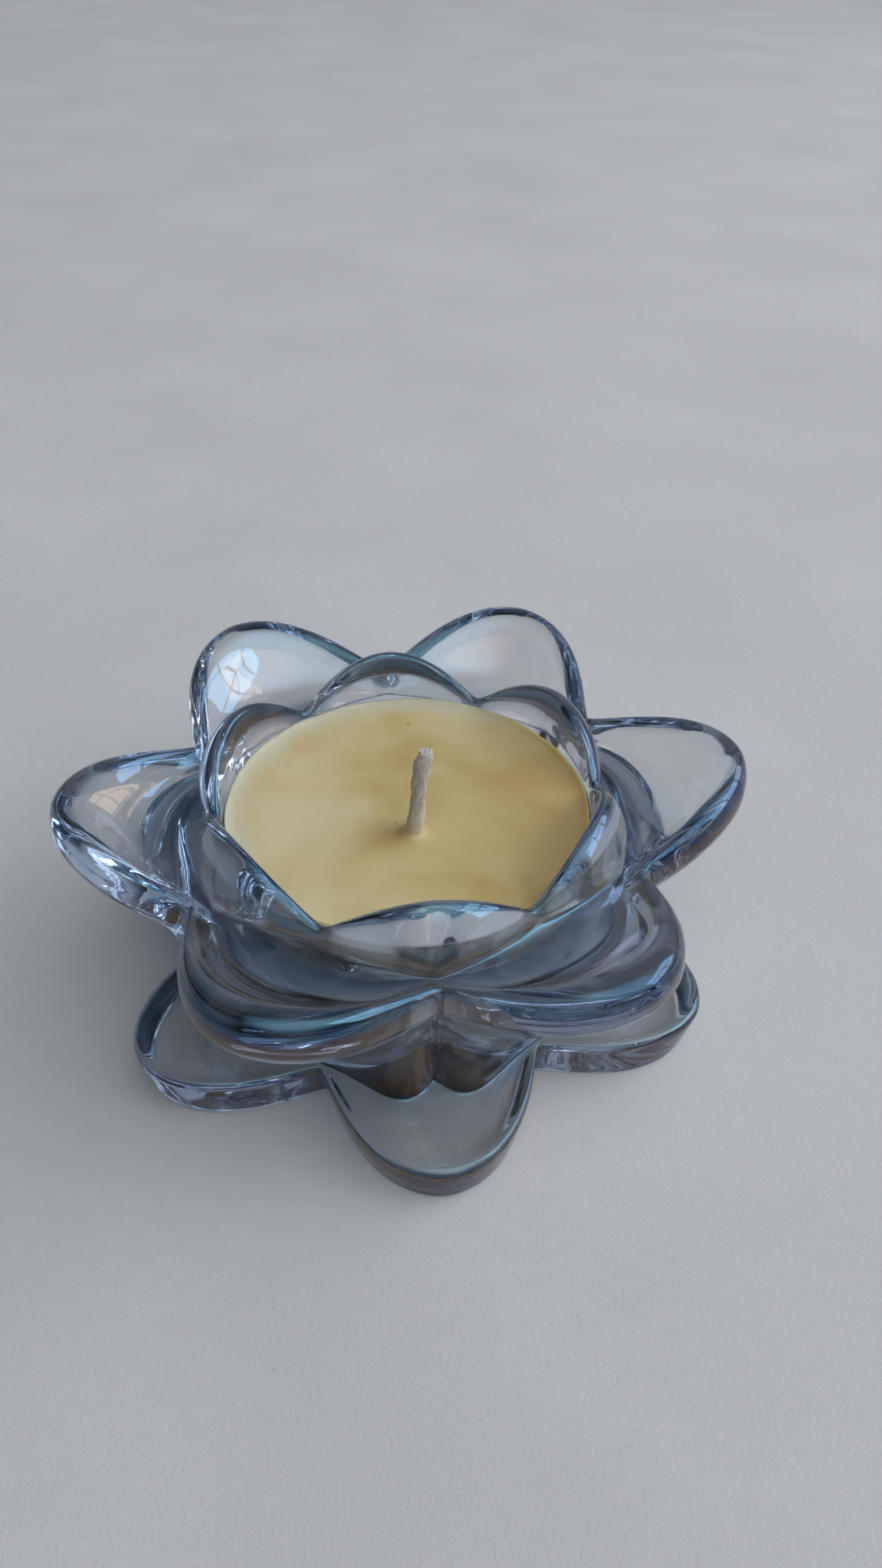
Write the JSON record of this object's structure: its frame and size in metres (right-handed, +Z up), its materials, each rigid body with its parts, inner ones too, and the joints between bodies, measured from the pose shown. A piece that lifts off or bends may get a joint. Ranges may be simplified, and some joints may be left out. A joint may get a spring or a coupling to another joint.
{
  "type": "candle holder",
  "caption": "Pressed-glass lotus candle holder with tiers of rounded petals, filled with a poured wax candle that lifts out.",
  "frame": {"origin": "on the table under the middle of the flower", "axes": "+Z up out of the cup, +X through the tip of a middle-tier petal, +Y through the tips of a base petal and a rim petal"},
  "size_m": [0.11, 0.102, 0.0502],
  "materials": {
    "smoky_glass": "gloss",
    "candle_wax": "satin",
    "wick_cotton": "matte",
    "tab_tinplate": "satin"
  },
  "bodies": {
    "holder": {"lotus_glass": "smoky_glass"},
    "candle": {"wax_fill": "candle_wax", "wick": "wick_cotton", "wick_tab": "tab_tinplate"}
  },
  "joints": [
    {"name": "candle_lift", "type": "slide", "parent": "holder", "child": "candle", "axis": [0, 0, 1], "range_m": [0, 0.04]}
  ]
}
